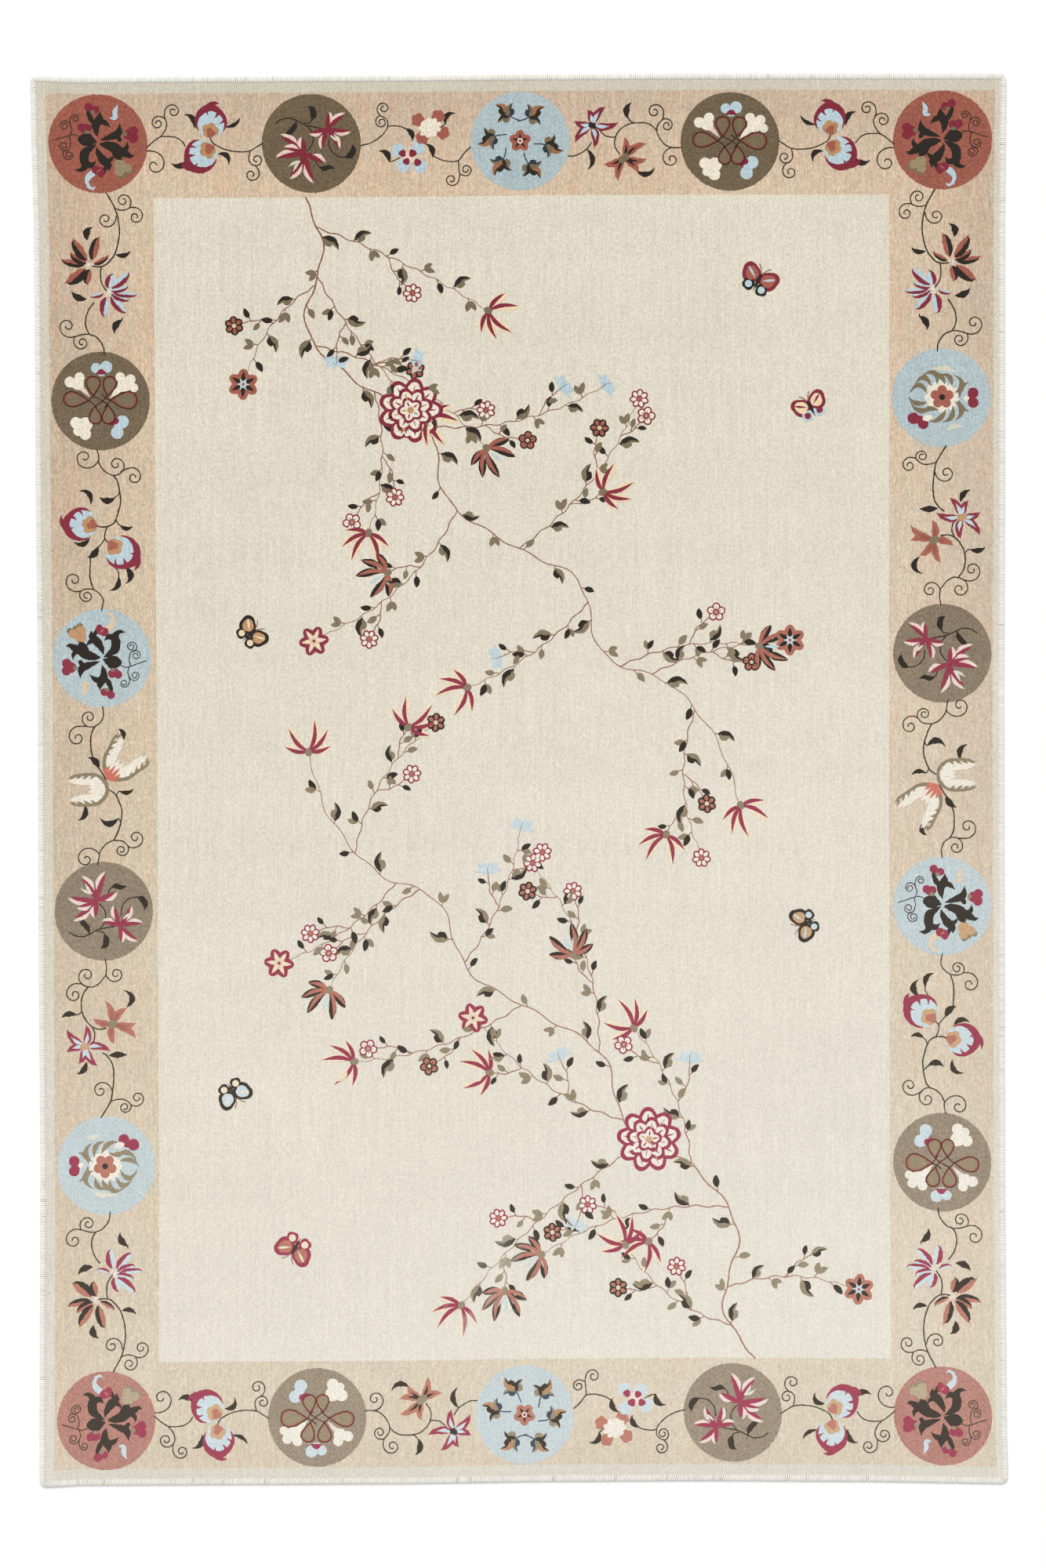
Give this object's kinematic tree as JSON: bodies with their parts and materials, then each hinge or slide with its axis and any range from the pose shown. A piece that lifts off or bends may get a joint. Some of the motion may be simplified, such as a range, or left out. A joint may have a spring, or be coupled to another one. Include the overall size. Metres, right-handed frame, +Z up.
{
  "type": "low-pile woven rug",
  "caption": "Flat rectangular low-pile rug with a broad patterned border, a plain guard band and an overcast yarn edge; lies on a floor.",
  "frame": {"origin": "centre of the rug's underside, on the floor", "axes": "+X across the rug, +Y along its length towards the end shown at the top of the picture, +Z up out of the pile"},
  "size_m": [2.0114, 2.9091, 0.008],
  "materials": {
    "pile": "short soft wool-like pile, matte with a faint sheen",
    "edge_yarn": "off-white overcasting yarn, matte"
  },
  "bodies": {
    "root": {"rug_cloth": "pile", "edge_yarn_left": "edge_yarn", "edge_yarn_right": "edge_yarn", "edge_yarn_near": "edge_yarn", "edge_yarn_far": "edge_yarn"}
  },
  "joints": []
}
